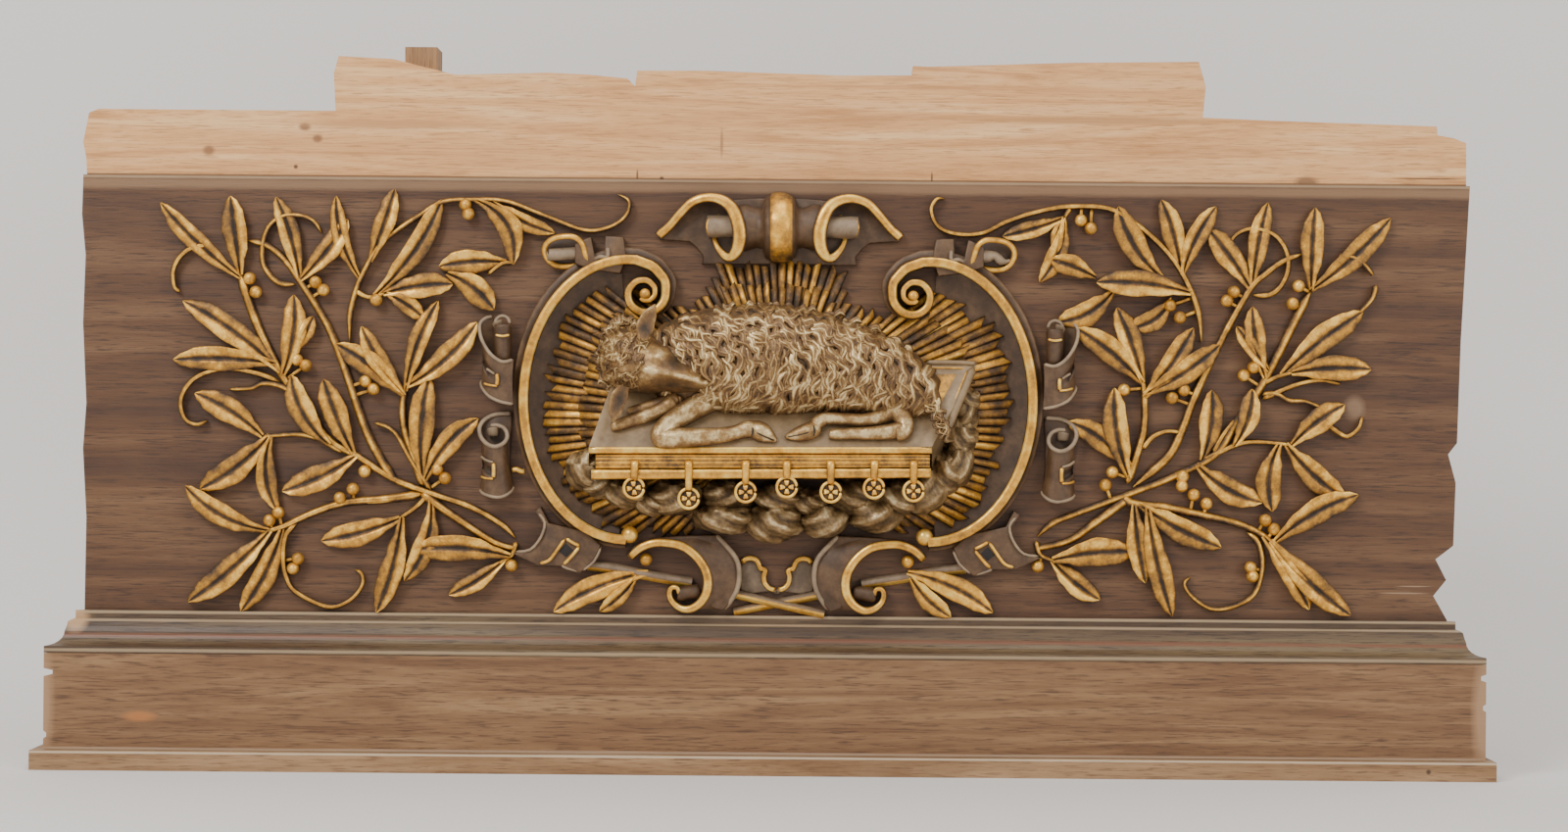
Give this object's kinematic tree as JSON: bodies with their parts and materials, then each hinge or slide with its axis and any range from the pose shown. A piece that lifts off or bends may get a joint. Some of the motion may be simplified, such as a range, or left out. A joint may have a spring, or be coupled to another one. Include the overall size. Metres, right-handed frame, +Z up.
{
  "type": "carved cartouche",
  "caption": "Carved and gilded altar-front panel: a lamb on a sealed book in a strapwork frame of rays and clouds, between olive branches, over a moulded plinth.",
  "frame": {"origin": "centre of the panel's flat back face, on the centreline of the strapwork", "axes": "+Z up, the carved face towards -Y, +X to the viewer's right"},
  "size_m": [1.476, 0.1657, 0.7388],
  "materials": {
    "stained_oak": "dark red-brown stained oak, rubbed wax",
    "raw_oak": "raw, unfinished oak",
    "strip_oak": "worn brown oak with remains of white filler",
    "gilded_carving": "carved wood, aged gold leaf with dark glaze in the hollows",
    "silvered_carving": "carved wood, aged silver leaf toned warm"
  },
  "bodies": {
    "root": {"base_strip": "strip_oak", "back_post": "raw_oak", "panel": "stained_oak", "upper_board": "raw_oak", "plinth_moulding": "stained_oak", "plinth_board": "stained_oak", "glory_rays": "gilded_carving", "clouds": "silvered_carving", "book_with_seals": "gilded_carving", "lamb": "silvered_carving", "scroll_frame_left": "gilded_carving", "scroll_frame_right": "gilded_carving", "crest": "gilded_carving", "foot_scrolls": "gilded_carving", "branch_left": "gilded_carving", "branch_right": "gilded_carving"}
  },
  "joints": []
}
